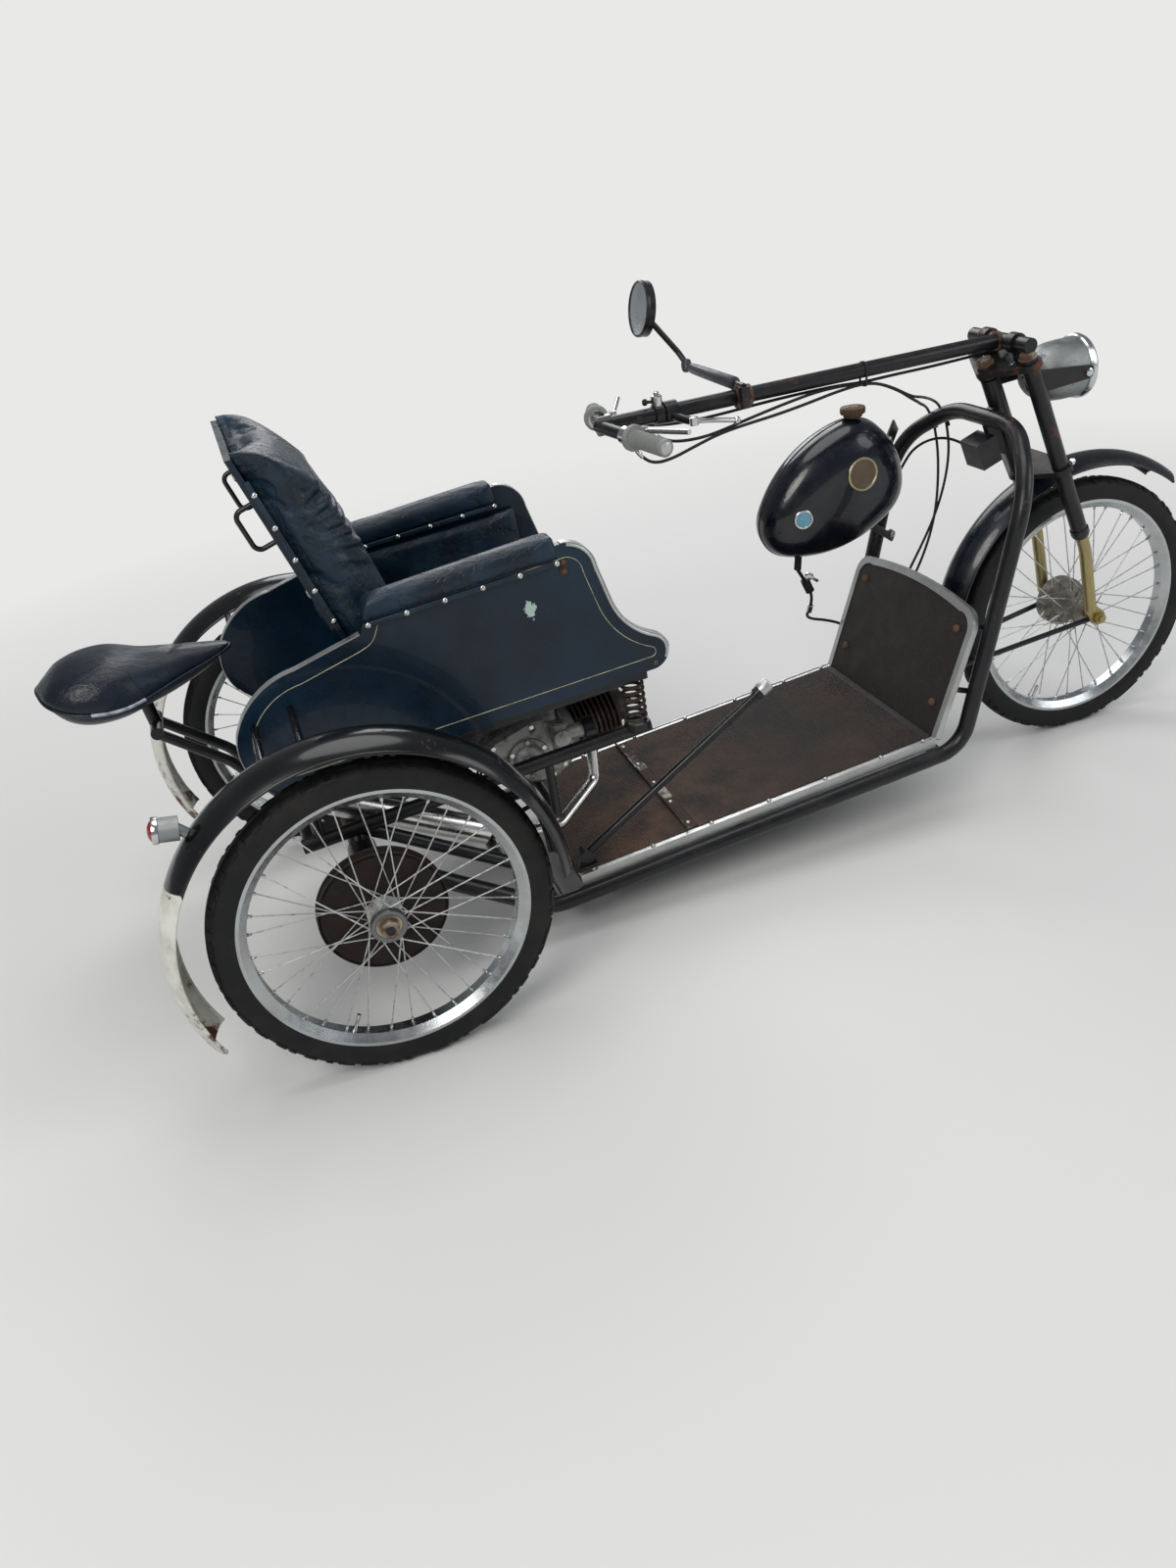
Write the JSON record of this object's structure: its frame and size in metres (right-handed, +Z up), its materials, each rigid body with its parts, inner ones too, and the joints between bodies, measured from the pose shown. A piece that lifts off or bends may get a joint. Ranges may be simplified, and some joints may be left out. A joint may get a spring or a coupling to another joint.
{
  "type": "motorised invalid carriage",
  "caption": "Motorised invalid carriage with a padded armchair, footboard, long steering tiller, side fuel tank, rear engine and small rear saddle on wire wheels.",
  "frame": {"origin": "on the ground under the middle of the whole length and width", "axes": "+X forward to the single front wheel, +Y to the rider's left, +Z up"},
  "size_m": [2.4889, 0.996, 1.1359],
  "materials": {
    "tyre": "ribbed black rubber, dusty",
    "rim": "chromed steel, dull and rust specked",
    "hub": "aged steel hub, drum and spokes",
    "axle_steel": "oiled steel with surface rust",
    "frame_paint": "gloss black enamel, worn",
    "slider": "yellowed steel",
    "board_wood": "painted plywood",
    "mat_rubber": "ribbed grey black rubber",
    "trim_aluminium": "satin aluminium edge trim",
    "panel_paint": "gloss dark blue paint with a pale line",
    "seat_leather": "dark blue leathercloth",
    "chrome": "chrome plate",
    "spring_steel": "rusted spring steel",
    "cast_alloy": "oily cast alloy",
    "cast_iron": "rusty cast iron",
    "exhaust_steel": "rusted steel pipe",
    "tank_paint": "gloss dark blue paint",
    "cap_steel": "worn plated cap",
    "hose_rubber": "fuel hose",
    "guard_paint": "gloss dark blue paint, white and rust at the rear tails",
    "lamp_glass": "red lens in a bright ring",
    "saddle_leather": "dark blue leathercloth with a pale hem",
    "lamp_paint": "black enamel with a bright rim",
    "lamp_glass_clear": "fluted clear glass",
    "grip_rubber": "grey rubber grips",
    "mirror": "mirror glass",
    "cable_rubber": "black cable sheath"
  },
  "bodies": {
    "carriage": {"armrests": "seat_leather", "backrest_board": "panel_paint", "backrest_pad": "seat_leather", "board_trim": "trim_aluminium", "carburettor": "cast_alloy", "chain_case": "frame_paint", "coil_box": "frame_paint", "engine_crankcase": "cast_alloy", "engine_cylinder": "cast_iron", "exhaust": "exhaust_steel", "floor_board": "board_wood", "floor_mat": "mat_rubber", "floor_strip": "trim_aluminium", "floor_trim": "trim_aluminium", "frame_cables": "cable_rubber", "front_board": "board_wood", "fuel_line": "hose_rubber", "fuel_tank": "tank_paint", "hand_lever": "frame_paint", "main_frame": "frame_paint", "panel_edging": "trim_aluminium", "push_handles": "frame_paint", "rear_axle": "axle_steel", "rear_guards": "guard_paint", "saddle": "saddle_leather", "saddle_bracket": "frame_paint", "seat_base": "board_wood", "seat_bearers": "frame_paint", "seat_cushion": "seat_leather", "seat_frame": "frame_paint", "seat_panels": "panel_paint", "seat_springs": "spring_steel", "tail_lamp": "lamp_glass", "tank_cap": "cap_steel"},
    "steering": {"fork_yokes": "frame_paint", "fork_legs": "frame_paint", "fork_sliders": "slider", "front_axle": "axle_steel", "front_guard": "guard_paint", "headlight_shell": "lamp_paint", "headlight_glass": "lamp_glass_clear", "headlight_ears": "frame_paint", "tiller": "frame_paint", "handlebar": "frame_paint", "grips": "grip_rubber", "hand_levers": "chrome", "mirror_arm": "frame_paint", "mirror_head": "lamp_paint", "mirror_glass": "mirror", "tiller_cables": "cable_rubber"},
    "front_wheel": {"tyre_front": "tyre", "rim_front": "rim", "hub_front": "hub"},
    "rear_wheel_right": {"tyre_rear_right": "tyre", "rim_rear_right": "rim", "hub_rear_right": "hub"},
    "rear_wheel_left": {"tyre_rear_left": "tyre", "rim_rear_left": "rim", "hub_rear_left": "hub"}
  },
  "joints": [
    {"name": "steering", "type": "hinge", "parent": "carriage", "child": "steering", "pos_m": [0.6995, 0, 0.892], "axis": [-0.3486, 0, 0.9373], "range_deg": [-30, 30]},
    {"name": "front_wheel_spin", "type": "hinge", "parent": "steering", "child": "front_wheel", "pos_m": [0.9455, 0, 0.299], "axis": [0, 1, 0], "continuous": true},
    {"name": "rear_wheel_right_spin", "type": "hinge", "parent": "carriage", "child": "rear_wheel_right", "pos_m": [-0.7695, -0.4475, 0.299], "axis": [0, 1, 0], "continuous": true},
    {"name": "rear_wheel_left_spin", "type": "hinge", "parent": "carriage", "child": "rear_wheel_left", "pos_m": [-0.7695, 0.4475, 0.299], "axis": [0, 1, 0], "continuous": true}
  ]
}
